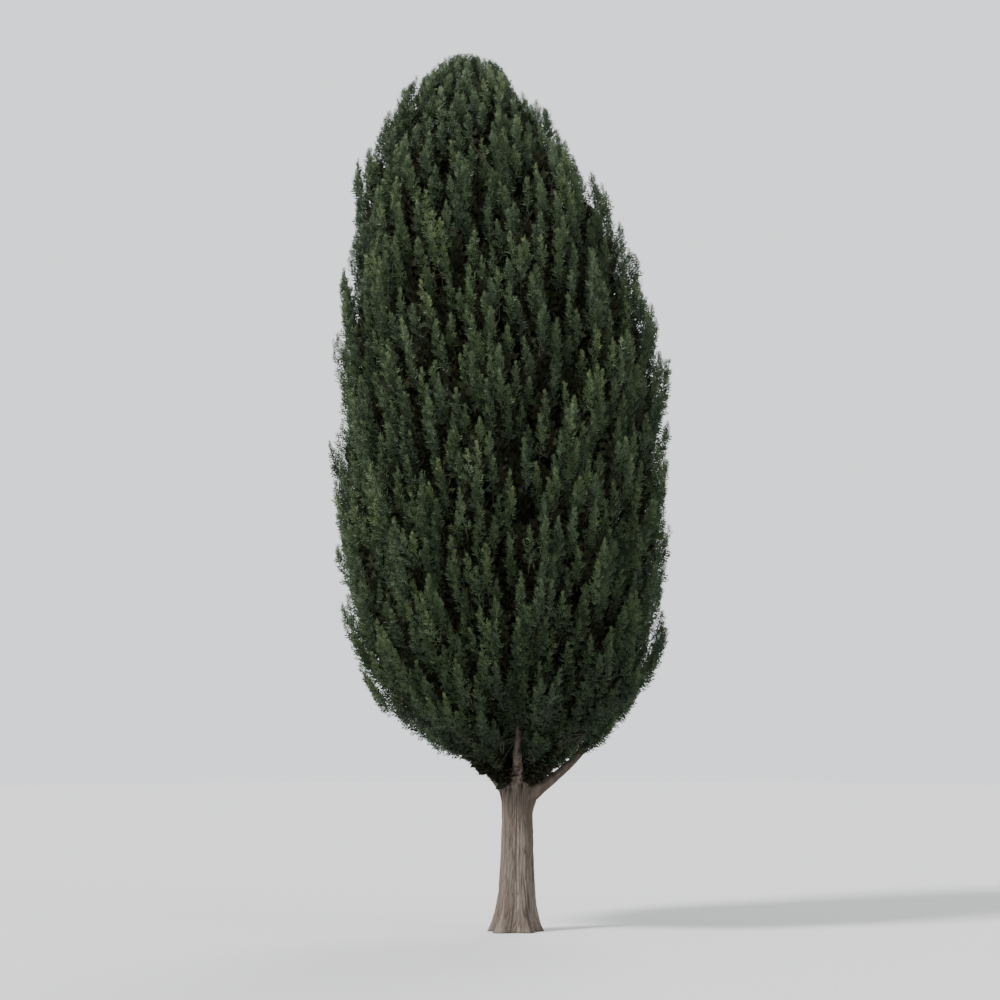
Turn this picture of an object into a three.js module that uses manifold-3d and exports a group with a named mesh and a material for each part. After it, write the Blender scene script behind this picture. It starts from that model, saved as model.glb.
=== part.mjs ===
// A pencil cypress: one straight conifer with a bare foot of trunk under a dense, flame-shaped crown.
//
// The frame is in millimetres with +Z up. The origin is in the flat cut under the trunk, at ground
// level, and -Y is the side that faces the viewer. The trunk runs up through the whole crown. Boughs
// leave it by the golden angle and rise steeply, and each carries one mass of foliage: a stem, a core,
// and twigs that end in sprays. The masses share the crown between them, each point of it going to the
// bough that passes nearest.

import * as THREE from "three";
import { mergeVertices } from "three/addons/utils/BufferGeometryUtils.js";
import Module from "manifold-3d";

const wasm = await Module();
wasm.setup();

// The whole tree
const TREE_HEIGHT = 10000;
const TIP_LEAN = 560; // the tip stands this far to the left of the foot
const LEAN_POWER = 2.2; // the lean gathers towards the top
const SWAY = 26; // slow bends of the trunk to either side
const SWAY_LENGTH = 5200;

// The crown's outline
const CROWN_FOOT = 1640; // height of the lowest sprays
const CROWN_WIDTH = 3920;
const WIDEST_SHARE = 0.42; // of the crown's height, where it is widest
const BELLY_POWER = 3.2; // roundness of the underside
const SHOULDER_POWER = 2.4; // roundness of the long upper part
const POINT_POWER = 0.58; // how sharply the crown runs to its tip
const LOBE_SHARE = 0.035; // depth of the shallow bays and bulges of the outline
const WIDE_LOBES = { count: 3, twist: 900 }; // they wind up the crown by one radian for each twist
const NARROW_LOBES = { count: 5, twist: -620 };
const TIP_DENSITY = 650; // added to the crown's radius where boughs and twigs are shared out by height

// The trunk
const TRUNK_TOP = 8450; // the leader's stem carries on from here
const TRUNK_RADIUS = 205; // at the ground, without the flare
const TRUNK_TOP_RADIUS = 17;
const TAPER_POWER = 0.92;
const FLARE = 92; // how far the root flare stands out at the ground
const FLARE_HEIGHT = 230;
const FLUTES = 5; // ribs that run up from the root flare
const FLUTE_DEPTH = 0.085;
const FLUTE_HEIGHT = 1900; // they fade out over this height
const FLUTE_TWIST = 1400; // and wind slowly round the trunk
const OVAL_SHARE = 0.4; // the trunk is a little oval too
const FLARE_RIB_SHARE = 0.35;
const TRUNK_SIDES = 18;
const TRUNK_RINGS = 15;
const RING_POWER = 1.7; // rings stand closer together near the ground
const RIBS_OUT = 1.2; // a radius that holds the ribs, over the radius of one side

// The boughs, from the lowest up
const BOUGHS = 26;
const GOLDEN_ANGLE = Math.PI * (3 - Math.sqrt(5));
const LOWEST_BOUGH = 1480; // height on the trunk
const BOUGH_STEP = 95; // least rise from one bough to the next
const LOWEST_TIP_SHARE = 0.2; // share of the crown's surface that lies below the first stem's tip
const HIGHEST_TIP_SHARE = 0.93;
const TIP_REACH = 0.84; // a stem's tip, as a share of the crown's radius there
const RISE = 300; // a stem rises this much, and RISE_PER_RADIUS times the crown's radius there
const RISE_PER_RADIUS = 1.2;
const ELBOW_OUT = 0.62; // a bough first runs outwards, then turns up
const ELBOW_UP = 0.26;
const BOUGH_SLENDERNESS = 0.0245; // radius at the trunk over the crown's radius
const BOUGH_LEAST_RADIUS = 18;
const STEM_SHARE = 0.36; // share of the way to the tip where the bough ends and the stem begins
const STEM_THICKNESS = 0.7; // radius there over the radius at the trunk
const BOUGH_SIDES = 5;
const BOUGH_RINGS = 3;

// The masses of foliage
const GAP = 0.3; // between pieces that meet
const SPACE_MARGIN = 14; // each mass keeps this far inside its own space
const LIMB_MARGIN = 25; // and this far off the limbs of others
const STEM_SIDES = 5;
const LEADER_RADIUS = 16;
const STEM_TIP_RADIUS = 8;
const CORE_INSET = 210; // depth of a core below the crown's outline
const CORE_INSET_SHARE = 0.42; // and never more than this share of the crown's radius
const CORE_SIDES = 8; // even, so that bulges and bays take turns all the way round
const CORE_PROFILE = [0.5, 1, 1, 1, 0.85, 0.15]; // shares of the reach, slice by slice from the lowest
const CORE_STEP = 20; // a core's reach is felt out by this much at a time
const CORE_LEAST_REACH = 30;
const CORE_START = 75; // height of a core's lowest slice above its stem's foot
const CORE_CREST = 420; // a core rises this far over its stem's tip
const CORE_LIFT = 130; // bulges are lifted, and bays let down, by this much
const CORE_BAY = 0.3; // bays are drawn in by this share
const CORE_ROUGHNESS = 0.06; // and all corners are uneven by up to this share
const CORE_GAP = 16; // a core keeps this far inside its mass's space

// The twigs, each with up to three sprays
const TUFTS = 146;
const TUFT_JITTER = 0.32; // unevenness, in steps of height and in radians
const TUFT_PULL = 0.15; // a tuft that leaves its mass's space moves this share of the way to the stem
const TUFT_PULLS = 4;
const TWIG_RADIUS = 15;
const TWIG_TIP_RADIUS = 9;
const TWIG_SLOPE = 0.9; // a twig rises this much for each unit it runs outwards
const TWIG_START = 110; // the lowest twig leaves the stem this far along it
const TWIG_IN_SPRAY = 0.3; // share of the spray that the twig runs into
const SPRAY_LENGTH = 430; // and SPRAY_PER_RADIUS times the crown's radius there
const SPRAY_PER_RADIUS = 0.15;
const SPRAY_WIDTH = 0.34; // shares of its length
const SPRAY_THICKNESS = 0.19;
const SPRAY_BELLY = 0.38; // where along its length a spray is widest
const SPRAY_OUT = 0.5; // how far sprays lean out from the crown's surface
const SPRAY_ALONG = 0.85; // for each of these along it
const SURFACE_STEP = 40; // the slope of the surface is taken over this height, up and down
const SIDE_SPRAY = 0.8; // length of a side spray over the middle one's
const SIDE_SPREAD = 0.46; // how far it leans round the crown
const SIDE_DROP = 0.34; // a side spray starts up to this share of its length lower on the twig
const SHORTEST_SPRAY = 0.55;
const SPRAY_TRIM = 0.1; // sprays are shortened by this share at a time until they fit
const SMOOTHING = 8; // details finer than this are dropped where sprays and cores join

const BARK = { color: 0x6a5c4e, roughness: 0.9, metalness: 0 };
const LEAVES = { color: 0x26351d, roughness: 0.75, metalness: 0 };
const UP = new THREE.Vector3(0, 0, 1);
const AWAY = new THREE.Vector3(0, 1, 0);
const UPRIGHT = 0.95;

// The same number from 0 to 1 for the same two counters.
function chance(first, second) {
  const wave = Math.sin(first * 127.1 + second * 311.7) * 43758.5453;
  return wave - Math.floor(wave);
}

function clamp(value, low, high) {
  return Math.min(Math.max(value, low), high);
}

// The middle of the trunk and of the crown at a height.
function axisPoint(z) {
  const turn = (2 * Math.PI * z) / SWAY_LENGTH;
  const lean = TIP_LEAN * Math.pow(Math.max(z, 0) / TREE_HEIGHT, LEAN_POWER);
  return new THREE.Vector3(SWAY * Math.sin(turn) - lean, SWAY * (1 - Math.cos(turn)), z);
}

// The crown's radius at a height: a rounded belly below the widest place and a long pointed shoulder above.
function crownRadius(z) {
  const share = (z - CROWN_FOOT) / (TREE_HEIGHT - CROWN_FOOT);
  if (share <= 0 || share >= 1) return 0;
  if (share < WIDEST_SHARE) {
    const below = (WIDEST_SHARE - share) / WIDEST_SHARE;
    return (CROWN_WIDTH / 2) * Math.sqrt(1 - Math.pow(below, BELLY_POWER));
  }
  const above = (share - WIDEST_SHARE) / (1 - WIDEST_SHARE);
  return (CROWN_WIDTH / 2) * Math.pow(1 - Math.pow(above, SHOULDER_POWER), POINT_POWER);
}

// The outline in one direction, with its shallow lobes.
function outlineRadius(z, angle) {
  const wave = [WIDE_LOBES, NARROW_LOBES]
    .map((lobes) => Math.sin(lobes.count * (angle + 0.2) + z / lobes.twist))
    .reduce((sum, part) => sum + part, 0);
  return crownRadius(z) * (1 + (LOBE_SHARE * wave) / 2);
}

function outlinePoint(z, angle) {
  const radius = outlineRadius(z, angle);
  const out = new THREE.Vector3(Math.cos(angle), Math.sin(angle), 0);
  return axisPoint(z).addScaledVector(out, radius);
}

// How far a point lies inside the outline, measured level.
function depthInCrown(point) {
  const middle = axisPoint(point.z);
  const x = point.x - middle.x;
  const y = point.y - middle.y;
  return outlineRadius(point.z, Math.atan2(y, x)) - Math.hypot(x, y);
}

// The height below which lies this share of the crown's surface, counted larger where the crown is thin.
const SURFACE_STEPS = 400;
const surfaceBelow = [0];
for (let i = 1; i <= SURFACE_STEPS; i++) {
  const step = (TREE_HEIGHT - CROWN_FOOT) / SURFACE_STEPS;
  const low = crownRadius(CROWN_FOOT + (i - 1) * step);
  const high = crownRadius(CROWN_FOOT + i * step);
  surfaceBelow.push(surfaceBelow[i - 1] + ((low + high) / 2 + TIP_DENSITY) * Math.hypot(step, high - low));
}
function heightAtShare(share) {
  const wanted = clamp(share, 0, 1) * surfaceBelow[SURFACE_STEPS];
  const i = clamp(surfaceBelow.findIndex((area) => area >= wanted), 1, SURFACE_STEPS);
  const part = (wanted - surfaceBelow[i - 1]) / (surfaceBelow[i] - surfaceBelow[i - 1]);
  return CROWN_FOOT + ((i - 1 + part) / SURFACE_STEPS) * (TREE_HEIGHT - CROWN_FOOT);
}

// The trunk's radius at a height and round it, with its taper, flutes and root flare.
function trunkRadius(z, angle) {
  const taper = Math.pow(1 - clamp(z / TRUNK_TOP, 0, 1), TAPER_POWER);
  const plain = TRUNK_TOP_RADIUS + (TRUNK_RADIUS - TRUNK_TOP_RADIUS) * taper;
  const rib = Math.cos(FLUTES * angle + z / FLUTE_TWIST) + OVAL_SHARE * Math.cos(2 * angle + 1);
  const flute = FLUTE_DEPTH * Math.exp(-z / FLUTE_HEIGHT) * rib;
  const flare = FLARE * Math.exp(-z / FLARE_HEIGHT) * (1 + FLARE_RIB_SHARE * rib);
  return plain * (1 + flute) + flare;
}

// A closed solid from a cylinder whose vertices are moved to place(share along, angle round, 0 or 1 out).
function shapedSolid(sides, rings, place) {
  const geometry = new THREE.CylinderGeometry(1, 1, 1, sides, rings);
  const position = geometry.getAttribute("position");
  for (let i = 0; i < position.count; i++) {
    const out = Math.hypot(position.getX(i), position.getZ(i)) > 0.5 ? 1 : 0;
    const angle = Math.atan2(position.getX(i), position.getZ(i));
    const moved = place(position.getY(i) + 0.5, angle, out);
    position.setXYZ(i, moved.x, moved.y, moved.z);
  }
  return solidOf(geometry);
}

function solidOf(geometry) {
  geometry.deleteAttribute("normal");
  geometry.deleteAttribute("uv");
  const merged = mergeVertices(geometry, 1e-3);
  const vertProperties = merged.getAttribute("position").array;
  const triVerts = new Uint32Array(merged.index.array);
  return new wasm.Manifold(new wasm.Mesh({ numProp: 3, vertProperties, triVerts }));
}

function geometryOf(solid) {
  const mesh = solid.getMesh();
  const geometry = new THREE.BufferGeometry();
  geometry.setAttribute("position", new THREE.BufferAttribute(mesh.vertProperties, 3));
  geometry.setIndex(new THREE.BufferAttribute(mesh.triVerts, 1));
  return geometry;
}

// The trunk, or a hull round it that stands off by a clearance.
function trunkSolid(clearance) {
  return shapedSolid(TRUNK_SIDES, TRUNK_RINGS, (share, angle, out) => {
    const z = TRUNK_TOP * Math.pow(share, RING_POWER);
    const radius = out * (trunkRadius(z, angle) + clearance);
    return axisPoint(z).add(new THREE.Vector3(-Math.sin(angle), Math.cos(angle), 0).multiplyScalar(radius));
  });
}

// A tapering limb along a curve, from one share of the curve to another. Its sides are counted from level,
// or from the +Y direction where the curve stands upright.
function limbSolid(curve, from, to, startRadius, endRadius, sides, rings) {
  const side = new THREE.Vector3();
  return shapedSolid(sides, rings, (share, angle, out) => {
    const along = from + (to - from) * share;
    const tangent = curve.getTangent(along);
    side.crossVectors(tangent, Math.abs(tangent.z) > UPRIGHT ? AWAY : UP).normalize();
    const other = new THREE.Vector3().crossVectors(side, tangent);
    const radius = out * (startRadius + (endRadius - startRadius) * share);
    return curve
      .getPoint(along)
      .addScaledVector(side, radius * Math.sin(angle))
      .addScaledVector(other, radius * Math.cos(angle));
  });
}

// One bough and its stem: where they leave the trunk, how they curve, and how thick they are.
function layOutBough(i) {
  const share = i / (BOUGHS - 1);
  const tipHeight = heightAtShare(LOWEST_TIP_SHARE + (HIGHEST_TIP_SHARE - LOWEST_TIP_SHARE) * share);
  const angle = i * GOLDEN_ANGLE;
  const radius = crownRadius(tipHeight);
  const footHeight = Math.max(tipHeight - RISE - RISE_PER_RADIUS * radius, LOWEST_BOUGH + BOUGH_STEP * i);
  const foot = axisPoint(footHeight);
  const tip = outlinePoint(tipHeight, angle).lerp(axisPoint(tipHeight), 1 - TIP_REACH);
  const elbow = new THREE.Vector3(
    THREE.MathUtils.lerp(foot.x, tip.x, ELBOW_OUT),
    THREE.MathUtils.lerp(foot.y, tip.y, ELBOW_OUT),
    THREE.MathUtils.lerp(foot.z, tip.z, ELBOW_UP),
  );
  const curve = new THREE.QuadraticBezierCurve3(foot, elbow, tip);
  const thickness = BOUGH_LEAST_RADIUS + BOUGH_SLENDERNESS * radius;
  return { curve, stemShare: STEM_SHARE, thickness };
}

// The leader: the stem that carries the trunk on to the tip of the tree.
function layOutLeader() {
  const foot = axisPoint(TRUNK_TOP);
  const tip = axisPoint(TREE_HEIGHT - SPRAY_LENGTH);
  const curve = new THREE.QuadraticBezierCurve3(foot, foot.clone().lerp(tip, 0.5), tip);
  return { curve, stemShare: 0, thickness: LEADER_RADIUS };
}

const CURVE_STEPS = 8;
const HALVINGS = 20;
const masses = [];
for (let i = 0; i < BOUGHS; i++) masses.push(layOutBough(i));
masses.push(layOutLeader());
for (const mass of masses) {
  mass.path = mass.curve.getPoints(CURVE_STEPS);
  mass.limbPath = mass.path.map((_, k) => mass.curve.getPoint((mass.stemShare * k) / CURVE_STEPS));
}

function distanceToPath(point, path) {
  const line = new THREE.Line3();
  const nearest = new THREE.Vector3();
  let least = Infinity;
  for (let k = 0; k < CURVE_STEPS; k++) {
    line.set(path[k], path[k + 1]).closestPointToPoint(point, true, nearest);
    least = Math.min(least, nearest.distanceTo(point));
  }
  return least;
}

function nearestMass(point) {
  const distances = masses.map((mass) => distanceToPath(point, mass.path));
  return distances.indexOf(Math.min(...distances));
}

// True if a point is in a mass's own space by a margin, and clear of the trunk and of the boughs.
function inSpace(point, own, margin) {
  const middle = axisPoint(point.z);
  const fromTrunk = Math.hypot(point.x - middle.x, point.y - middle.y);
  if (point.z < TRUNK_TOP && fromTrunk < RIBS_OUT * trunkRadius(point.z, 0) + LIMB_MARGIN) return false;
  const ownDistance = distanceToPath(point, masses[own].path);
  return masses.every((mass, other) => {
    const fromLimb = distanceToPath(point, other === own ? mass.limbPath : mass.path);
    if (fromLimb < mass.thickness + LIMB_MARGIN) return false;
    return other === own || fromLimb > ownDistance + 2 * margin;
  });
}

// The stem's point at a height, found by halving, and kept above the stem's first stretch.
function stemPoint(mass, z) {
  let low = mass.stemShare + TWIG_START / mass.curve.getLength();
  let high = 1;
  for (let k = 0; k < HALVINGS; k++) {
    const middle = (low + high) / 2;
    if (mass.curve.getPoint(middle).z < z) low = middle;
    else high = middle;
  }
  return mass.curve.getPoint((low + high) / 2);
}

// The middle of a mass at a height: its stem and, over the stem's tip, a line drawn in as the crown is.
function massMiddle(mass, z) {
  const tip = mass.curve.getPoint(1);
  if (z <= tip.z) return stemPoint(mass, z).setZ(z);
  const drawnIn = crownRadius(z) / crownRadius(tip.z);
  return tip.sub(axisPoint(tip.z)).multiplyScalar(drawnIn).add(axisPoint(z));
}

// The dense inside of a mass: slices round its middle, each reaching out to the edge of the mass's space
// or to a set depth below the crown's outline. Their corners take turns as lifted bulges and lowered bays,
// like clustered shoots, and the topmost slice draws in to a point.
function coreSolid(own) {
  const mass = masses[own];
  const foot = mass.curve.getPoint(mass.stemShare).z + CORE_START;
  const top = Math.min(mass.curve.getPoint(1).z + CORE_CREST, TREE_HEIGHT - CORE_START);
  const rings = CORE_PROFILE.length - 1;
  return shapedSolid(CORE_SIDES, rings, (share, angle, out) => {
    const slice = Math.round(rings * share);
    if (!out && slice === 0) return massMiddle(mass, foot - CORE_START);
    const column = Math.round((CORE_SIDES * angle) / (2 * Math.PI));
    const isEnd = slice === 0 || slice === rings;
    const isBay = !isEnd && (slice + column) % 2 !== 0;
    const lift = isEnd ? 0 : CORE_LIFT * (isBay ? -1 : 1);
    const z = foot + (top - foot) * share + lift;
    const centre = massMiddle(mass, z);
    if (!out) return centre;
    const heading = new THREE.Vector3(Math.sin(angle), -Math.cos(angle), 0);
    const depth = Math.min(CORE_INSET, CORE_INSET_SHARE * crownRadius(z));
    let reach = CORE_STEP;
    while (reach < CROWN_WIDTH) {
      const point = centre.clone().addScaledVector(heading, reach);
      if (depthInCrown(point) < depth || !inSpace(point, own, CORE_GAP)) break;
      reach += CORE_STEP;
    }
    const rough = CORE_ROUGHNESS * chance(own + slice, column);
    const drawnIn = CORE_PROFILE[slice] * (1 - (isBay ? CORE_BAY : 0) - rough);
    return centre.addScaledVector(heading, Math.max(drawnIn * (reach - CORE_STEP), CORE_LEAST_REACH));
  });
}

// One spray: a slim eight-faced plume, widest a little above its root.
function sprayCorners(root, direction, length, turn) {
  const across = new THREE.Vector3().crossVectors(direction, UP);
  if (across.lengthSq() < 1e-4) across.set(1, 0, 0);
  across.normalize().applyAxisAngle(direction, turn);
  const through = new THREE.Vector3().crossVectors(across, direction);
  const belly = root.clone().addScaledVector(direction, SPRAY_BELLY * length);
  return {
    root,
    tip: root.clone().addScaledVector(direction, length),
    right: belly.clone().addScaledVector(across, (SPRAY_WIDTH * length) / 2),
    left: belly.clone().addScaledVector(across, (-SPRAY_WIDTH * length) / 2),
    front: belly.clone().addScaledVector(through, (SPRAY_THICKNESS * length) / 2),
    back: belly.clone().addScaledVector(through, (-SPRAY_THICKNESS * length) / 2),
  };
}

function spraySolid(corners) {
  const geometry = new THREE.OctahedronGeometry(1, 0);
  const position = geometry.getAttribute("position");
  for (let i = 0; i < position.count; i++) {
    const x = position.getX(i);
    const y = position.getY(i);
    const z = position.getZ(i);
    let corner = y > 0.5 ? corners.tip : corners.root;
    if (Math.abs(x) > 0.5) corner = x > 0 ? corners.right : corners.left;
    if (Math.abs(z) > 0.5) corner = z > 0 ? corners.front : corners.back;
    position.setXYZ(i, corner.x, corner.y, corner.z);
  }
  return solidOf(geometry);
}

// The longest spray from a root that stays in the mass's space and inside the outline, or null.
function fittingSpray(root, direction, length, own, turn) {
  for (let share = 1; share > SHORTEST_SPRAY; share -= SPRAY_TRIM) {
    const corners = sprayCorners(root, direction, length * share, turn);
    const inside = (point) => depthInCrown(point) > -1 && inSpace(point, own, SPACE_MARGIN);
    if (Object.values(corners).every(inside)) return corners;
  }
  return null;
}

// How a spray that ends on the outline lies: its root, its heading and the way round the crown.
function layOutSpray(z, angle, length) {
  const above = outlinePoint(Math.min(z + SURFACE_STEP, TREE_HEIGHT), angle);
  const below = outlinePoint(Math.max(z - SURFACE_STEP, CROWN_FOOT), angle);
  const along = above.sub(below).normalize();
  const round = new THREE.Vector3(-Math.sin(angle), Math.cos(angle), 0);
  const out = new THREE.Vector3().crossVectors(round, along);
  const direction = along.multiplyScalar(SPRAY_ALONG).addScaledVector(out, SPRAY_OUT).normalize();
  const root = outlinePoint(z, angle).addScaledVector(direction, -length);
  return { root, direction, round };
}

// The twigs and sprays, spread evenly over the crown by the golden angle. Each ends on the outline, and
// grows from the stem of the mass whose space it ends in.
function growTufts() {
  const grown = masses.map(() => []);
  for (let k = 0; k < TUFTS; k++) {
    const z = heightAtShare((k + 0.5 + TUFT_JITTER * (chance(k, 1) - 0.5)) / TUFTS);
    const length = SPRAY_LENGTH + SPRAY_PER_RADIUS * crownRadius(z);
    const lie = layOutSpray(z, k * GOLDEN_ANGLE + TUFT_JITTER * (chance(k, 2) - 0.5), length);
    const own = nearestMass(lie.root.clone().addScaledVector(lie.direction, length / 2));
    const mass = masses[own];
    const stem = massMiddle(mass, lie.root.z);
    let middle = null;
    for (let pull = 0; pull < TUFT_PULLS && !middle; pull++) {
      if (pull > 0) lie.root.lerp(stem, TUFT_PULL);
      middle = fittingSpray(lie.root, lie.direction, length, own, chance(k, 3) * Math.PI);
    }
    if (!middle) continue;
    const run = Math.hypot(lie.root.x - stem.x, lie.root.y - stem.y);
    const start = stemPoint(mass, lie.root.z - TWIG_SLOPE * run);
    const twigEnd = lie.root.clone().addScaledVector(lie.direction, TWIG_IN_SPRAY * length);
    const twig = new THREE.LineCurve3(start, twigEnd);
    grown[own].push(limbSolid(twig, 0, 1, TWIG_RADIUS, TWIG_TIP_RADIUS, 3, 1), spraySolid(middle));
    for (const hand of [-1, 1]) {
      const heading = lie.direction.clone().addScaledVector(lie.round, hand * SIDE_SPREAD).normalize();
      const drop = SIDE_DROP * length * chance(k, 4 + hand);
      const from = lie.root.clone().addScaledVector(lie.direction, -drop);
      const spray = fittingSpray(from, heading, length * SIDE_SPRAY, own, chance(k, 7 + hand) * Math.PI);
      if (spray) grown[own].push(spraySolid(spray));
    }
  }
  return grown;
}

// A solid without its loose scraps, and with the hollows filled that joining has sealed.
function largestBody(solid) {
  const bodies = solid.decompose().filter((body) => body.volume() > 0);
  return bodies.reduce((largest, body) => (body.volume() > largest.volume() ? body : largest));
}

// One mass: its pieces joined, and cut clear of the limbs by their hulls.
function fuse(pieces, hulls) {
  return largestBody(wasm.Manifold.union(pieces).simplify(SMOOTHING).subtract(wasm.Manifold.union(hulls)));
}

function meshOf(name, solid, look) {
  const mesh = new THREE.Mesh(geometryOf(solid), look);
  mesh.name = name;
  return mesh;
}

const bark = new THREE.MeshStandardMaterial(BARK);
const leaves = new THREE.MeshStandardMaterial(LEAVES);
const tree = new THREE.Group();
tree.add(meshOf("trunk", trunkSolid(0), bark));

const trunkHull = trunkSolid(GAP);
const tufts = growTufts();
masses.forEach((mass, i) => {
  const label = String(i + 1).padStart(2, "0");
  const isLeader = i === BOUGHS;
  const stemStart = mass.stemShare + GAP / mass.curve.getLength();
  const stemRadius = isLeader ? mass.thickness : mass.thickness * STEM_THICKNESS;
  const stem = limbSolid(mass.curve, stemStart, 1, stemRadius, STEM_TIP_RADIUS, STEM_SIDES, 2);
  const pieces = [coreSolid(i), stem, ...tufts[i]];
  if (isLeader) {
    const root = axisPoint(TREE_HEIGHT - SPRAY_LENGTH);
    const upwards = axisPoint(TREE_HEIGHT).sub(root).normalize();
    pieces.push(spraySolid(sprayCorners(root, upwards, SPRAY_LENGTH, 0)));
    tree.add(meshOf("foliage_top", fuse(pieces, [trunkHull]), leaves));
    return;
  }
  const boughSolid = (end, clearance) => {
    const radii = [mass.thickness + clearance, stemRadius + clearance];
    return limbSolid(mass.curve, 0, end, ...radii, BOUGH_SIDES, BOUGH_RINGS);
  };
  const bough = largestBody(boughSolid(mass.stemShare, 0).subtract(trunkHull));
  tree.add(meshOf("bough_" + label, bough, bark));
  tree.add(meshOf("foliage_" + label, fuse(pieces, [trunkHull, boughSolid(stemStart, GAP)]), leaves));
});

export default tree;
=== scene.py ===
import math
import bpy
import numpy as np
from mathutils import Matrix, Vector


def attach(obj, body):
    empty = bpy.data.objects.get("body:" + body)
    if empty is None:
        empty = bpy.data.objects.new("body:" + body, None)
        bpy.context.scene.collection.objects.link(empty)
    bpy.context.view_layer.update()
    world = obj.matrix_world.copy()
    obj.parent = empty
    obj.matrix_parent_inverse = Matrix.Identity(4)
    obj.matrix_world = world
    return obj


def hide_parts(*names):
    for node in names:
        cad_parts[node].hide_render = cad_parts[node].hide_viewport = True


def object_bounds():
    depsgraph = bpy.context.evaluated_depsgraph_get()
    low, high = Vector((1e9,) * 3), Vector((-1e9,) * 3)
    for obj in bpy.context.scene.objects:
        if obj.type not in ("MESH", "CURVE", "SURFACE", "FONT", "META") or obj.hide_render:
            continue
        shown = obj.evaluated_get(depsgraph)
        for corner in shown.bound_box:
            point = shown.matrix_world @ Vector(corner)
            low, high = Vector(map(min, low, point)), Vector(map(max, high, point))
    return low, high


# A pencil cypress that grows in open ground: one trunk, boughs that leave it by the golden angle, and a
# dense flame-shaped crown of upright shoots. Lengths are in metres, +Z is up, the origin is in the flat
# cut at ground level, and -Y faces the viewer.
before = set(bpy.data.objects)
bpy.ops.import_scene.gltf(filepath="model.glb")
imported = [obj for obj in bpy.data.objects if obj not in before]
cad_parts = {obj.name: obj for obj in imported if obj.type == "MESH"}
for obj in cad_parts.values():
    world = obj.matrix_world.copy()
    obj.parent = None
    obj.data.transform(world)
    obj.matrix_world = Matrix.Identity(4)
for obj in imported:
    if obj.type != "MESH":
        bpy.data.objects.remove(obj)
cad_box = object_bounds()

# The camera looks level along +Y through a long lens, far enough away for the tree to stand upright in
# the picture with no slant, and near enough for it to fill most of the frame.
VIEW_DISTANCE = 60.0
VIEW_HEIGHT = 4.7
AIM_HEIGHT = 4.9
FRAME_FILL = 0.88  # share of the frame's height that the tree takes up
SENSOR = 0.036
MILLIMETRES = 1000
tree_height = cad_box[1].z - cad_box[0].z
middle = (cad_box[0].x + cad_box[1].x) / 2
lens = bpy.data.cameras.new("camera")
lens.sensor_width = SENSOR * MILLIMETRES
lens.lens = SENSOR * VIEW_DISTANCE * FRAME_FILL / tree_height * MILLIMETRES
lens.clip_end = 500
camera = bpy.data.objects.new("camera", lens)
camera.location = (middle, -VIEW_DISTANCE, VIEW_HEIGHT)
camera.rotation_euler = (math.pi / 2 + math.atan2(AIM_HEIGHT - VIEW_HEIGHT, VIEW_DISTANCE), 0, 0)
bpy.context.collection.objects.link(camera)
bpy.context.scene.camera = camera

# The floor is a plain pale disc, and the light is that of a studio: a broad key lamp from the upper left,
# a weaker one from the right, one from behind, and an even pale surround.
FLOOR_RADIUS = 34.0
FLOOR_SIDES = 96
turn = np.arange(FLOOR_SIDES) * 2 * np.pi / FLOOR_SIDES
rim = np.stack([FLOOR_RADIUS * np.cos(turn), FLOOR_RADIUS * np.sin(turn), 0 * turn], -1)
floor_mesh = bpy.data.meshes.new("floor")
floor_mesh.from_pydata(rim.tolist(), [], [list(range(FLOOR_SIDES))])
floor_look = bpy.data.materials.new("pale floor")
floor_look.use_nodes = True
floor_look.node_tree.nodes["Principled BSDF"].inputs["Base Color"].default_value = (0.37, 0.37, 0.366, 1)
floor_look.node_tree.nodes["Principled BSDF"].inputs["Roughness"].default_value = 0.9
floor_mesh.materials.append(floor_look)
floor = bpy.data.objects.new("floor", floor_mesh)
bpy.context.collection.objects.link(floor)

surround = bpy.data.worlds.new("surround")
surround.use_nodes = True
surround.node_tree.nodes["Background"].inputs["Color"].default_value = (0.90, 0.92, 0.95, 1)
surround.node_tree.nodes["Background"].inputs["Strength"].default_value = 1.5
bpy.context.scene.world = surround

for name, strength, spread, slope, heading in [
    ("key", 8.5, 0.2, 42, -52),
    ("fill", 0.9, 0.6, 26, 50),
    ("rim", 1.8, 0.4, 40, 165),
]:
    lamp = bpy.data.lights.new(name, "SUN")
    lamp.energy = strength
    lamp.angle = spread
    light = bpy.data.objects.new(name, lamp)
    light.rotation_euler = (math.radians(90 - slope), 0, math.radians(heading))
    bpy.context.collection.objects.link(light)

# The trunk is one straight stem of solid wood in thin grey-brown bark, which splits into long upright
# strips with narrow furrows between them. It swells into a fluted root flare and is cut flat at the ground.
TREE_HEIGHT = 10.0
TIP_LEAN = 0.56  # the tip stands this far to the left of the foot
LEAN_POWER = 2.2
SWAY = 0.026
SWAY_LENGTH = 5.2
TRUNK_TOP = 8.45
TRUNK_RADIUS = 0.205
TRUNK_TOP_RADIUS = 0.017
TAPER_POWER = 0.92
FLARE = 0.092
FLARE_HEIGHT = 0.23
FLUTES = 5
FLUTE_DEPTH = 0.085
FLUTE_HEIGHT = 1.9
FLUTE_TWIST = 1.4
OVAL_SHARE = 0.4
OVAL_TURN = 1
FLARE_RIB_SHARE = 0.35
TRUNK_COLUMNS = 320
BARE_ROWS = 110  # up to BARE_TOP, where the bark is in view
BARE_TOP = 2.3
COVERED_ROWS = 30
STRIPS = 44  # strips of bark round the trunk
STRIP_LENGTH = 0.36
FINE_STRIPS = 90
FINE_STRIP_LENGTH = 0.17
FINE_STRIP_TURN = 0.37  # share of a turn that sets them off from the wide ones
FINE_FURROW_SHARE = 0.7  # their furrows are this much as deep
STRIP_WANDER = 1.3  # how far the furrows wander to the side, in strips
WANDERS = 8  # in this many ways round the trunk
WANDER_LENGTH = 0.9
FURROW_DEPTH = 0.015
FURROW_SHARE = 0.2  # how wide a furrow is
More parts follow.
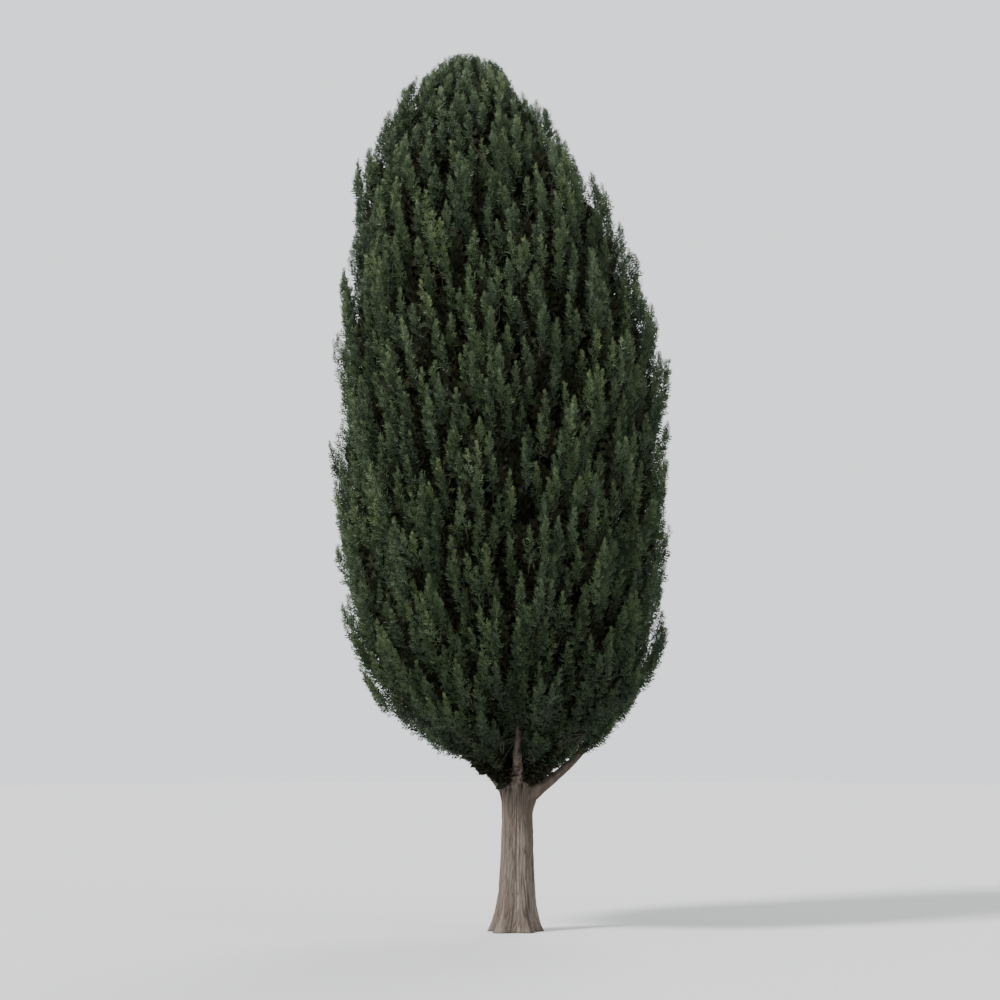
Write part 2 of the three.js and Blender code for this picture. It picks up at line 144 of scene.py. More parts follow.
FURROW_POWER = 1.5  # how sharp its edges are
SHALLOWEST = 0.35  # depth of the shallowest furrows
DEPTH_CHANGES = 2  # along the length of a strip
LEAST_RELIEF = 0.1  # thin wood has this share of the relief
OLD_BARK_RADIUS = 0.075  # thinner wood than this has younger, browner bark
TOES = 17  # the flare breaks into small toes and hollows at the ground
TOE_HEIGHT = 0.3
TOE_DEPTH = 0.035
FIBRES = 150
FIBRE_LENGTH = 0.16
FIBRE_DEPTH = 0.0035
WANDER_SEED, STRIP_SEED, DEPTH_SEED, FIBRE_SEED, TOE_SEED = 3, 17, 53, 41, 67
CHANCE_STEPS = (127.1, 311.7)
CHANCE_SCALE = 43758.5453
CROWN_FOOT = 1.64
CROWN_WIDTH = 3.92
WIDEST_SHARE = 0.42
BELLY_POWER = 3.2
SHOULDER_POWER = 2.4
POINT_POWER = 0.58
TIP_DENSITY = 0.65  # added to the crown's radius, so that the thin tip gets enough tufts
BOUGHS = 26
GOLDEN_ANGLE = math.pi * (3 - math.sqrt(5))
LOWEST_BOUGH = 1.48
BOUGH_STEP = 0.095
LOWEST_TIP_SHARE = 0.2
HIGHEST_TIP_SHARE = 0.93
RISE = 0.3
RISE_PER_RADIUS = 1.2
BOUGH_SLENDERNESS = 0.0245
BOUGH_LEAST_RADIUS = 0.018
SURFACE_STEPS = 400
SWELLING = 1.1  # how far the trunk swells out under a bough, in the bough's radii
SWELLING_RISE = 0.06  # above the bough's foot in the trunk's middle
SWELLING_HEIGHT = 0.14
SWELLING_TURN = 0.5


def chance(first, second):
    """The same number from 0 to 1 for the same two counters: the fraction of a large multiple of a sine."""
    wave = np.sin(first * CHANCE_STEPS[0] + second * CHANCE_STEPS[1]) * CHANCE_SCALE
    return wave - np.floor(wave)


def soft_noise(u, v, around, seed):
    """Random heights at whole u and v, blended by 3t^2 - 2t^3 between them, which repeat in u."""
    u_cell, v_cell = np.floor(u), np.floor(v)
    u_part, v_part = u - u_cell, v - v_cell
    u_part, v_part = (t * t * (3 - 2 * t) for t in (u_part, v_part))
    here, beside = u_cell % around + seed, (u_cell + 1) % around + seed
    low, high = (
        (1 - u_part) * chance(here, row) + u_part * chance(beside, row) for row in (v_cell, v_cell + 1)
    )
    return (1 - v_part) * low + v_part * high


def axis_point(z):
    """The middle of trunk and crown: a slow sine sway, and a lean that grows as a power of the height."""
    wave = 2 * np.pi * z / SWAY_LENGTH
    lean = TIP_LEAN * (np.maximum(z, 0) / TREE_HEIGHT) ** LEAN_POWER
    return np.stack([SWAY * np.sin(wave) - lean, SWAY * (1 - np.cos(wave)), z + 0 * wave], -1)


def trunk_radius(z, angle):
    """A power taper, times cosine flutes that fade upwards, plus a root flare that fades faster."""
    taper = (1 - np.clip(z / TRUNK_TOP, 0, 1)) ** TAPER_POWER
    plain = TRUNK_TOP_RADIUS + (TRUNK_RADIUS - TRUNK_TOP_RADIUS) * taper
    rib = np.cos(FLUTES * angle + z / FLUTE_TWIST) + OVAL_SHARE * np.cos(2 * angle + OVAL_TURN)
    flute = FLUTE_DEPTH * np.exp(-z / FLUTE_HEIGHT) * rib
    return plain * (1 + flute) + FLARE * np.exp(-z / FLARE_HEIGHT) * (1 + FLARE_RIB_SHARE * rib)


def bark_relief(share_round, z, strips, length):
    """0 on a strip to 1 in a furrow. Furrows follow the lines where stretched noise passes one half, and
    their depth comes and goes along them by another noise."""
    wander = soft_noise(share_round * WANDERS, z / WANDER_LENGTH, WANDERS, WANDER_SEED) - 0.5
    noise = soft_noise(share_round * strips + STRIP_WANDER * wander, z / length, strips, STRIP_SEED)
    changes = soft_noise(share_round * strips, z / length * DEPTH_CHANGES, strips, DEPTH_SEED)
    depth = SHALLOWEST + (1 - SHALLOWEST) * changes
    return depth * np.clip(1 - np.abs(noise - 0.5) / FURROW_SHARE, 0, 1) ** FURROW_POWER


def close_rings(rings):
    """Tubes from rings of points, shaped (tubes, rings, sides, 3): side faces, and a fan over both ends."""
    tubes, rows, sides = rings.shape[:3]
    ends = rings[:, [0, -1]].mean(axis=2)
    points = np.concatenate([rings.reshape(tubes, -1, 3), ends], axis=1)
    row, side = np.meshgrid(np.arange(rows - 1), np.arange(sides), indexing="ij")
    beside = (side + 1) % sides
    low, low_beside = row * sides + side, row * sides + beside
    high, high_beside = low + sides, low_beside + sides
    walls = np.stack([low, low_beside, high_beside, low, high_beside, high], -1).reshape(-1, 3)
    around = np.arange(sides)
    around_next = (around + 1) % sides
    first, last = rows * sides, rows * sides + 1
    foot = np.stack([0 * around + first, around_next, around], -1)
    top = np.stack([0 * around + last, around + last - 1 - sides, around_next + last - 1 - sides], -1)
    faces = np.concatenate([walls, foot, top])
    faces = faces[None] + (np.arange(tubes) * points.shape[1])[:, None, None]
    return points.reshape(-1, 3), faces.reshape(-1, 3)


def add_piece(name, points, faces, looks, look_of_face=None, smooth=True):
    """A mesh object of triangles, filled from whole arrays, that rides on the tree's one body."""
    mesh = bpy.data.meshes.new(name)
    mesh.vertices.add(len(points))
    mesh.vertices.foreach_set("co", points.astype(np.float32).ravel())
    mesh.loops.add(faces.size)
    mesh.loops.foreach_set("vertex_index", faces.astype(np.int32).ravel())
    mesh.polygons.add(len(faces))
    mesh.polygons.foreach_set("loop_start", np.arange(0, faces.size, 3, dtype=np.int32))
    for look in looks:
        mesh.materials.append(look)
    if look_of_face is not None:
        mesh.polygons.foreach_set("material_index", look_of_face.astype(np.int32))
    mesh.update(calc_edges=True)
    mesh.polygons.foreach_set("use_smooth", np.full(len(faces), smooth))
    piece = bpy.data.objects.new(name, mesh)
    bpy.context.collection.objects.link(piece)
    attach(piece, "root")
    return piece


def crown_radius(z):
    """The crown's radius. One power curve rounds the belly below the widest place, another the shoulder."""
    share = np.clip((z - CROWN_FOOT) / (TREE_HEIGHT - CROWN_FOOT), 0, 1)
    below = np.clip((WIDEST_SHARE - share) / WIDEST_SHARE, 0, 1)
    above = np.clip((share - WIDEST_SHARE) / (1 - WIDEST_SHARE), 0, 1)
    return CROWN_WIDTH / 2 * np.sqrt(1 - below**BELLY_POWER) * (1 - above**SHOULDER_POWER) ** POINT_POWER


edges = CROWN_FOOT + (TREE_HEIGHT - CROWN_FOOT) * np.arange(SURFACE_STEPS + 1) / SURFACE_STEPS
edge_radii = crown_radius(edges)
ring_widths = (edge_radii[1:] + edge_radii[:-1]) / 2 + TIP_DENSITY
surface_below = np.append(0, np.cumsum(ring_widths * np.hypot(np.diff(edges), np.diff(edge_radii))))


def height_at_share(share):
    """The height with a share of the crown's surface below it, counted larger where the crown is thin."""
    return np.interp(share * surface_below[-1], surface_below, edges)


number = np.arange(BOUGHS)
tip_share = LOWEST_TIP_SHARE + (HIGHEST_TIP_SHARE - LOWEST_TIP_SHARE) * number / (BOUGHS - 1)
tip_height = height_at_share(tip_share)
tip_radius = crown_radius(tip_height)
wanted_height = tip_height - RISE - RISE_PER_RADIUS * tip_radius
foot_height = np.maximum(wanted_height, LOWEST_BOUGH + BOUGH_STEP * number)
bough_radius = BOUGH_LEAST_RADIUS + BOUGH_SLENDERNESS * tip_radius


def swell_at_boughs(z, angle):
    """How far the trunk stands out for the boughs: the sum of one bell-shaped swelling under each."""
    bough = number[:, None, None]
    rise = (z - foot_height[bough] - SWELLING_RISE) / SWELLING_HEIGHT
    turn = (np.mod(angle - bough * GOLDEN_ANGLE + np.pi, 2 * np.pi) - np.pi) / SWELLING_TURN
    return (SWELLING * bough_radius[bough] * np.exp(-rise * rise - turn * turn)).sum(axis=0)


share_round = np.arange(TRUNK_COLUMNS) / TRUNK_COLUMNS
heights = np.concatenate([
    np.linspace(0, BARE_TOP, BARE_ROWS, endpoint=False),
    np.linspace(BARE_TOP, TRUNK_TOP, COVERED_ROWS),
])
z, share = np.meshgrid(heights, share_round, indexing="ij")
angle = 2 * np.pi * share
plain_radius = trunk_radius(z, angle)
fine_furrow = bark_relief(share + FINE_STRIP_TURN, z, FINE_STRIPS, FINE_STRIP_LENGTH)
furrow = np.maximum(bark_relief(share, z, STRIPS, STRIP_LENGTH), FINE_FURROW_SHARE * fine_furrow)
fibre = soft_noise(share * FIBRES, z / FIBRE_LENGTH, FIBRES, FIBRE_SEED)
toes = soft_noise(share * TOES, z / TOE_HEIGHT, TOES, TOE_SEED) - 0.5
thin = np.clip(plain_radius / TRUNK_RADIUS, LEAST_RELIEF, 1)
radius = plain_radius - thin * (FURROW_DEPTH * furrow + FIBRE_DEPTH * fibre)
radius = radius + TOE_DEPTH * toes * np.exp(-z / FLARE_HEIGHT) + swell_at_boughs(z, angle + np.pi / 2)
heading = np.stack([-np.sin(angle), np.cos(angle), 0 * angle], -1)
trunk_rings = axis_point(z) + heading * radius[..., None]
points, faces = close_rings(trunk_rings[None])

bark = bpy.data.materials.new("grey-brown bark")
bark.use_nodes = True
nodes, links = bark.node_tree.nodes, bark.node_tree.links
shader = nodes["Principled BSDF"]
shader.inputs["Specular IOR Level"].default_value = 0.25
place = nodes.new("ShaderNodeTexCoord")
stretch = nodes.new("ShaderNodeMapping")
stretch.inputs["Scale"].default_value = (1, 1, 0.14)
links.new(place.outputs["Object"], stretch.inputs["Vector"])
patches = nodes.new("ShaderNodeTexNoise")
patches.inputs["Scale"].default_value = 7
patches.inputs["Detail"].default_value = 4
links.new(stretch.outputs["Vector"], patches.inputs["Vector"])
fibres = nodes.new("ShaderNodeTexNoise")
fibres.inputs["Scale"].default_value = 90
fibres.inputs["Detail"].default_value = 3
links.new(stretch.outputs["Vector"], fibres.inputs["Vector"])
tint = nodes.new("ShaderNodeValToRGB")
tint.color_ramp.elements[0].position = 0.3
tint.color_ramp.elements[0].color = (0.085, 0.060, 0.044, 1)
tint.color_ramp.elements[1].position = 0.72
tint.color_ramp.elements[1].color = (0.205, 0.172, 0.142, 1)
links.new(patches.outputs["Fac"], tint.inputs["Fac"])
ages = nodes.new("ShaderNodeAttribute")
ages.attribute_name = "age"
weathered = nodes.new("ShaderNodeMix")
weathered.data_type = "RGBA"
links.new(ages.outputs["Fac"], weathered.inputs["Factor"])
weathered.inputs["A"].default_value = (0.072, 0.047, 0.034, 1)
links.new(tint.outputs["Color"], weathered.inputs["B"])
streaks = nodes.new("ShaderNodeMix")
streaks.data_type = "RGBA"
streaks.blend_type = "MULTIPLY"
streaks.inputs["Factor"].default_value = 0.75
links.new(weathered.outputs["Result"], streaks.inputs["A"])
links.new(fibres.outputs["Fac"], streaks.inputs["B"])
furrows = nodes.new("ShaderNodeAttribute")
furrows.attribute_name = "furrow"
shade = nodes.new("ShaderNodeMix")
shade.data_type = "RGBA"
links.new(furrows.outputs["Fac"], shade.inputs["Factor"])
links.new(streaks.outputs["Result"], shade.inputs["A"])
shade.inputs["B"].default_value = (0.022, 0.015, 0.011, 1)
links.new(shade.outputs["Result"], shader.inputs["Base Color"])
rough = nodes.new("ShaderNodeMapRange")
rough.inputs["To Min"].default_value = 0.78
rough.inputs["To Max"].default_value = 0.98
links.new(fibres.outputs["Fac"], rough.inputs["Value"])
links.new(rough.outputs["Result"], shader.inputs["Roughness"])
bump = nodes.new("ShaderNodeBump")
bump.inputs["Strength"].default_value = 0.6
bump.inputs["Distance"].default_value = 0.004
links.new(fibres.outputs["Fac"], bump.inputs["Height"])
links.new(bump.outputs["Normal"], shader.inputs["Normal"])


def store_values(piece, name, values):
    """Stores a value for each point of a piece's rings, for the bark. The middles of the ends have 0."""
    ends = np.zeros((len(values), 2))
    values = np.concatenate([values.reshape(len(values), -1), ends], axis=1)
    stored = piece.data.attributes.new(name, "FLOAT", "POINT")
    stored.data.foreach_set("value", values.astype(np.float32).ravel())


trunk = add_piece("trunk_bark", points, faces, [bark])
store_values(trunk, "furrow", furrow[None])
store_values(trunk, "age", np.clip(plain_radius / OLD_BARK_RADIUS, 0, 1)[None])
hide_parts("trunk")

# The boughs are tapering limbs of the same wood. Each leaves the trunk a golden angle round from the one
# below, swells where it joins, bends upwards, and runs on inside its mass of foliage as a thin stem.
LOBE_SHARE = 0.035
LOBE_TURN = 0.2
WIDE_LOBES = (3, 0.9)  # how many there are, and the height in which they wind on by a radian
NARROW_LOBES = (5, -0.62)
TIP_REACH = 0.84
ELBOW_OUT = 0.62
ELBOW_UP = 0.26
STEM_SHARE = 0.36
STEM_THICKNESS = 0.7
STEM_TIP_RADIUS = 0.008
LEADER_RADIUS = 0.016
LEADER_SPRAY = 0.43
COLLAR = 0.85  # how much a bough swells at the trunk, and over what length
COLLAR_LENGTH = 0.14
BOUGH_RINGS = 48
BOUGH_SIDES = 15
BOUGH_STRIPS = 9
BOUGH_STRIP_LENGTH = 0.16
BOUGH_FURROW = 0.12  # depth of a furrow as a share of the bough's radius
BOUGH_APART = 10  # in the bark's noise, so that no two boughs are alike
KNOT = 0.16  # unevenness of a bough's radius
KNOT_SIDES = 3  # a knot is this many sides of the bough wide
KNOT_LENGTH = 0.12
KNOT_SEED = 7
NEARLY_UPRIGHT = 0.95  # rings round a line that is steeper than this are laid out from +Y, others from +Z


def outline_radius(z, angle):
    """The crown's radius in one direction, with sine lobes that wind up it."""
    lobes = (WIDE_LOBES, NARROW_LOBES)
    wave = sum(np.sin(count * (angle + LOBE_TURN) + z / twist) for count, twist in lobes)
    return crown_radius(z) * (1 + LOBE_SHARE * wave / 2)


def outline_point(z, angle):
    """The point of the crown's outline at a height and a turn."""
    radial = np.stack([np.cos(angle), np.sin(angle), 0 * angle], -1)
    return axis_point(z) + radial * outline_radius(z, angle)[..., None]


def unit(vectors):
    """Vectors divided by their lengths."""
    return vectors / np.linalg.norm(vectors, axis=-1, keepdims=True)


def bezier(start, bend, end, share):
    """The quadratic curve (1-t)^2 start + 2t(1-t) bend + t^2 end, at shares t of the way."""
    t = share[..., None]
    return (1 - t) ** 2 * start + 2 * t * (1 - t) * bend + t * t * end


def rings_along(centres, radii, sides):
    """Rings of points round lines of centres, square to each line. Radii are given by ring or by point."""
    tangents = unit(np.gradient(centres, axis=1))
    upright = np.abs(tangents[..., 2:]) > NEARLY_UPRIGHT
    across = unit(np.cross(tangents, np.where(upright, (0.0, 1.0, 0.0), (0.0, 0.0, 1.0))))
    over = np.cross(tangents, across)
    turn = np.arange(sides) * 2 * np.pi / sides
    spokes = np.cos(turn)[:, None] * across[:, :, None] + np.sin(turn)[:, None] * over[:, :, None]
    radii = radii if radii.ndim == 3 else radii[..., None]
    return centres[:, :, None] + spokes * radii[..., None]


foot = axis_point(foot_height)
outline_beside = outline_point(tip_height, number * GOLDEN_ANGLE)
tip = axis_point(tip_height) * (1 - TIP_REACH) + outline_beside * TIP_REACH
elbow = foot + (tip - foot) * np.array([ELBOW_OUT, ELBOW_OUT, ELBOW_UP])
leader_foot = axis_point(np.array([TRUNK_TOP]))
leader_tip = axis_point(np.array([TREE_HEIGHT - LEADER_SPRAY]))
foot = np.concatenate([foot, leader_foot])
tip = np.concatenate([tip, leader_tip])
elbow = np.concatenate([elbow, (leader_foot + leader_tip) / 2])
thickness = np.append(bough_radius, LEADER_RADIUS)
stem_share = np.append(np.full(BOUGHS, STEM_SHARE), 0)
stem_radius = thickness * np.append(np.full(BOUGHS, STEM_THICKNESS), 1)

along = np.linspace(0, 1, BOUGH_RINGS)
centres = bezier(foot[:, None], elbow[:, None], tip[:, None], along[None])
bough_radii = np.stack([
    np.interp(along, [0, share, 1], [thick, stem, STEM_TIP_RADIUS])
    for thick, share, stem in zip(thickness, stem_share, stem_radius)
])
off_axis = np.linalg.norm((centres - axis_point(centres[..., 2]))[..., :2], axis=-1)
from_trunk = off_axis - trunk_radius(centres[..., 2], 0)
collar = 1 + COLLAR * np.exp(-np.maximum(from_trunk, 0) / COLLAR_LENGTH)
collar[-1] = 1
which, ring, side = np.meshgrid(np.arange(BOUGHS + 1), along, np.arange(BOUGH_SIDES), indexing="ij")
run = ring * np.linalg.norm(tip - foot, axis=-1)[:, None, None] + BOUGH_APART * which
knots = soft_noise(side / KNOT_SIDES, run / KNOT_LENGTH, BOUGH_SIDES // KNOT_SIDES, KNOT_SEED)
bough_furrow = bark_relief(side / BOUGH_SIDES, run, BOUGH_STRIPS, BOUGH_STRIP_LENGTH)
uneven = 1 + KNOT * (knots - 0.5) - BOUGH_FURROW * bough_furrow
bough_radii = (bough_radii * collar)[..., None] * uneven
points, faces = close_rings(rings_along(centres, bough_radii, BOUGH_SIDES))
boughs = add_piece("boughs_and_stems", points, faces, [bark])
store_values(boughs, "furrow", bough_furrow)
store_values(boughs, "age", np.clip(bough_radii / OLD_BARK_RADIUS, 0, 1))
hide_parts(*(f"bough_{n + 1:02d}" for n in range(BOUGHS)))

# The twigs are thin brown wood. Each of the crown's tufts has one that leaves a stem, and finer twigs leave
# it in turn, bend up and carry the leafy shoots that end on the crown's outline.
TUFTS = 146
TUFT_JITTER = 0.32
TWIG_SLOPE = 0.9
TWIG_START = 0.11
TWIG_IN_SPRAY = 0.3
TWIG_SAG = 0.08
TUFT_LENGTH = 0.43
TUFT_PER_RADIUS = 0.15
TUFT_OUT = 0.5
TUFT_ALONG = 0.85
SURFACE_STEP = 0.04
SHOOTS = 1665  # leafy shoots that end on the outline
INNER_SHOOTS = 900  # and shaded ones that fill the crown behind them, in three layers
CORE_SHOOTS = 560
HEART_SHOOTS = 400
COVERS = 18  # places along a bough that get a shoot over them, where the bough runs near the outline
COVER_DEPTH = 0.65  # near means less deep inside it than this
COVER_RISE = 0.28  # such a shoot ends this much higher
COVER_OVER = 0.15  # above the crown's foot such a shoot ends this far outside the bough
COVER_BESIDE = 0.03  # to one side of it and the other in turn
LEAST_REACH = 0.1  # keeps that turn small near the axis
SHOOT_JITTER = 0.8
SHOOT_LENGTH = 0.4
SHOOT_PER_RADIUS = 0.1
SHORTEST_SHARE = 0.85  # share of that length that the shortest shoots have
LENGTH_RANGE = 0.3  # and how much more of it the longest have
INNER_DEPTH = 0.26
CORE_DEPTH = 0.75
HEART_DEPTH = 1.15
CLEFT = 0.2  # shoots between two tufts end this far below the outline
TUFT_HALF_WIDTH = 0.42
TUFT_ABOVE = 0.3
TUFT_BELOW = 0.7
RAGGED = 0.08
RAGGED_OUT = 0.35  # share of it that lies outside
UNEVEN = 0.1  # some tufts end this much further inside than others
TURN_JITTER = 0.3
TURN_RADIUS = 0.3  # keeps that jitter small where the crown is thin
LEADING = 0.01  # the middle shoot of a tuft stands out this far
TOPMOST = 0.005  # the topmost shoot ends this far below the tree's height
FOOT_INSET = 0.3  # shoots keep this far inside the outline at the crown's foot
FOOT_INSET_TOP = 3.0  # and less above it, up to this height
SHORTENINGS = 5
SHORTENING = 0.75
LEAST_DEPTH = 0.05  # a shoot starts at least this far inside the outline
DEEPEST_SHARE = 0.6  # and ends no deeper than this share of the crown's radius
START_ALONG, START_OUT = 0.7, 0.7  # a shoot's first heading, along the surface and level
END_ALONG, END_OUT, END_UP = 0.9, 0.2, 0.35  # and its last, with a part straight up
SPLAY = 0.3  # the shoots of a tuft lean apart
TINY = 1e-6  # keeps a line of no length from being divided by zero
TUFT_RINGS = 12
TUFT_SIDES = 4
TUFT_RADII = (0.013, 0.004)  # of a tuft's twig at its foot and its tip
WOOD_RINGS = 4
SHOOT_RINGS = 3
TWIG_SIDES = 3
TWIG_RADII = (0.0065, 0.002)
TWIG_BEND = 0.35  # a finer twig bends this share of its length before its leaves start
TWIG_END = 0.97  # and ends at this share of the leafy shoot
PATH_STEPS = 8
STEM_SAMPLES = 60
OUTER_SEED, INNER_SEED, CORE_SEED, HEART_SEED, LEADING_SEED, COVER_SEED = 11, 23, 37, 71, 47, 59
TUFT_HEIGHT_SEED, TUFT_TURN_SEED, UNEVEN_SEED = 1, 2, 5


def depth_in_crown(points):
    """How far points lie inside the outline, measured level. Below the crown's foot it is negative."""
    offset = points - axis_point(points[..., 2])
    reach = np.hypot(offset[..., 0], offset[..., 1])
    return outline_radius(points[..., 2], np.arctan2(offset[..., 1], offset[..., 0])) - reach


def lie_on_outline(z, angle):
    """The outline's point at a height and a turn, the line up along the surface, and the way out of it."""
    above = outline_point(np.minimum(z + SURFACE_STEP, TREE_HEIGHT), angle)
    below = outline_point(np.maximum(z - SURFACE_STEP, CROWN_FOOT), angle)
    up_along = unit(above - below)
    round_crown = np.stack([-np.sin(angle), np.cos(angle), 0 * angle], -1)
    return outline_point(z, angle), up_along, unit(np.cross(round_crown, up_along))


paths = bezier(foot[:, None], elbow[:, None], tip[:, None], np.linspace(0, 1, PATH_STEPS + 1)[None])


def nearest_mass(points):
    """The bough or leader whose path passes nearest: least distance to its straight steps."""
    start, step = paths[:, :-1], np.diff(paths, axis=1)
    offset = points[:, None, None] - start
    part = np.clip((offset * step).sum(-1) / (step * step).sum(-1), 0, 1)
    gap = np.linalg.norm(offset - part[..., None] * step, axis=-1)
    return gap.min(axis=2).argmin(axis=1)


stem_shares = np.linspace(stem_share, 1, STEM_SAMPLES).T
stem_lines = bezier(foot[:, None], elbow[:, None], tip[:, None], stem_shares)


def stem_point(mass, z):
    """The point of a mass's stem nearest to a height, a little above the stem's start."""
    line = stem_lines[mass]
    lowest = np.maximum(z, line[:, 0, 2] + TWIG_START)
    at = np.abs(line[..., 2] - lowest[:, None]).argmin(axis=1)
    return line[np.arange(len(at)), at]


k = np.arange(TUFTS)
tuft_z = height_at_share((k + 0.5 + TUFT_JITTER * (chance(k, TUFT_HEIGHT_SEED) - 0.5)) / TUFTS)
tuft_angle = k * GOLDEN_ANGLE + TUFT_JITTER * (chance(k, TUFT_TURN_SEED) - 0.5)
tuft_length = TUFT_LENGTH + TUFT_PER_RADIUS * crown_radius(tuft_z)
tuft_tip, up_along, out = lie_on_outline(tuft_z, tuft_angle)
tuft_heading = unit(TUFT_ALONG * up_along + TUFT_OUT * out)
tuft_root = tuft_tip - tuft_heading * tuft_length[:, None]
tuft_mass = nearest_mass(tuft_root + tuft_heading * tuft_length[:, None] / 2)
stem_beside = stem_point(tuft_mass, tuft_root[:, 2])
run = np.linalg.norm((tuft_root - stem_beside)[:, :2], axis=-1)
tuft_start = stem_point(tuft_mass, tuft_root[:, 2] - TWIG_SLOPE * run)
tuft_end = tuft_root + tuft_heading * (TWIG_IN_SPRAY * tuft_length)[:, None]
tuft_bend = (tuft_start + tuft_end) / 2 + [0, 0, -TWIG_SAG] * run[:, None]
tuft_shares = np.linspace(0, 1, TUFT_RINGS)[None]
tuft_lines = bezier(tuft_start[:, None], tuft_bend[:, None], tuft_end[:, None], tuft_shares)
tuft_radii = np.repeat(np.linspace(*TUFT_RADII, TUFT_RINGS)[None], TUFTS, axis=0)
points, faces = close_rings(rings_along(tuft_lines, tuft_radii, TUFT_SIDES))


def spread(count, seed):
    """Heights and turns, spread over the crown by the golden angle as the tufts are, with some chance."""
    n = np.arange(count)
    z = height_at_share((n + 0.5 + SHOOT_JITTER * (chance(n, seed) - 0.5)) / count)
    jitter = TURN_JITTER * (chance(n, seed + 1) - 0.5) / (TURN_RADIUS + crown_radius(z))
    return z, n * GOLDEN_ANGLE + seed + jitter


def lay_out_shoots(z, angle, depth, seed, deepest=np.inf):
    """Shoots with their tips at a depth below the outline. Each starts on the twig of the tuft that it
    stands nearest to, runs out, and bends up along the surface. Shoots sink towards the clefts between
    tufts, most of all above a tuft's tip, and no deeper than a limit. They stand upright where the crown
    closes over."""
    n = np.arange(len(z))
    end, up_along, out = lie_on_outline(z, angle)
    radial = unit(end - axis_point(z) + [0, 0, TINY])
    apart = end[:, None] - tuft_tip[None]
    beside = np.hypot(apart[..., 0], apart[..., 1]) / TUFT_HALF_WIDTH
    above = apart[..., 2] / np.where(apart[..., 2] > 0, TUFT_ABOVE, TUFT_BELOW)
    from_tuft = np.hypot(beside, above)
    tuft = from_tuft.argmin(axis=1)
    cleft = np.clip(from_tuft.min(axis=1), 0, 1) ** 2
    sunk = depth + CLEFT * cleft + RAGGED * (chance(n, seed + 2) - RAGGED_OUT)
    sunk = sunk + UNEVEN * chance(tuft, UNEVEN_SEED) * np.clip(crown_radius(z), 0, 1)
    sunk = sunk + FOOT_INSET * np.clip((FOOT_INSET_TOP - z) / (FOOT_INSET_TOP - CROWN_FOOT), 0, 1)
    sunk = np.minimum(sunk, deepest)
    end = end - out * np.minimum(sunk, DEEPEST_SHARE * crown_radius(z))[:, None]
    apart = end - tuft_tip[tuft]
    first = unit(START_ALONG * up_along + START_OUT * radial)
    closing = np.maximum(-(up_along * radial).sum(-1, keepdims=True), 0)
    last = unit(END_ALONG * up_along + END_OUT * radial + (END_UP + closing) * [0, 0, 1] + SPLAY * apart)
    length = SHOOT_LENGTH + SHOOT_PER_RADIUS * crown_radius(z)
    length = length * (SHORTEST_SHARE + LENGTH_RANGE * chance(n, seed + 3))
    for _ in range(SHORTENINGS):
        begin = end - (first + last) / 2 * length[:, None]
        length = np.where(depth_in_crown(begin) < LEAST_DEPTH, length * SHORTENING, length)
    begin = end - (first + last) / 2 * length[:, None]
    line = tuft_lines[tuft]
    run = np.linalg.norm((begin[:, None] - line)[..., :2], axis=-1)
    wanted = begin[:, None, 2] - TWIG_SLOPE * run
    at = np.abs(line[..., 2] - wanted).argmin(axis=1)
    kept = depth_in_crown(begin) > LEAST_DEPTH / 2
    shoots = {
        "joint": line[n, at],
        "begin": begin,
        "first": first,
        "last": last,
        "length": length,
        "out": out,
        "tuft": tuft,
        "mass": tuft_mass[tuft],
    }
    return {key: value[kept] for key, value in shoots.items()}


def along_shoot(shoots, share):
    """Points and headings of shoots at shares of their length. A heading turns evenly, first to last."""
    t = share[..., None]
    first, last = shoots["first"][:, None], shoots["last"][:, None]
    length = shoots["length"][:, None, None]
    point = shoots["begin"][:, None] + length * (first * (t - t * t / 2) + last * t * t / 2)
    return point, unit(first * (1 - t) + last * t)


def together(*parts):
    """Several sets of shoots as one."""
    return {key: np.concatenate([part[key] for part in parts]) for key in parts[0]}


cover_shares = np.linspace(0, 1, COVERS)[None]
covered = bezier(foot[:, None], elbow[:, None], tip[:, None], cover_shares).reshape(-1, 3)
cover_gap = depth_in_crown(covered)
near = (cover_gap > 0) & (cover_gap < COVER_DEPTH)
covered, cover_gap = covered[near], cover_gap[near]
from_axis = covered - axis_point(covered[:, 2])
cover_z = np.minimum(covered[:, 2] + COVER_RISE, TREE_HEIGHT - COVER_RISE)
hand = (-1) ** np.arange(len(covered))
aside = COVER_BESIDE * hand / (LEAST_REACH + np.hypot(from_axis[:, 0], from_axis[:, 1]))
cover_angle = np.arctan2(from_axis[:, 1], from_axis[:, 0]) + aside
cover_limit = np.where(cover_z > FOOT_INSET_TOP, cover_gap - COVER_OVER, np.inf)
leading_z = np.append(tuft_z, TREE_HEIGHT - TOPMOST)
leading_angle = np.append(tuft_angle, 0)
outer = together(
    lay_out_shoots(*spread(SHOOTS, OUTER_SEED), 0, OUTER_SEED),
    lay_out_shoots(leading_z, leading_angle, -LEADING, LEADING_SEED),
    lay_out_shoots(cover_z, cover_angle, 0, COVER_SEED, cover_limit),
)
inner = together(
    lay_out_shoots(*spread(INNER_SHOOTS, INNER_SEED), INNER_DEPTH, INNER_SEED),
    lay_out_shoots(*spread(CORE_SHOOTS, CORE_SEED), CORE_DEPTH, CORE_SEED),
    lay_out_shoots(*spread(HEART_SHOOTS, HEART_SEED), HEART_DEPTH, HEART_SEED),
)

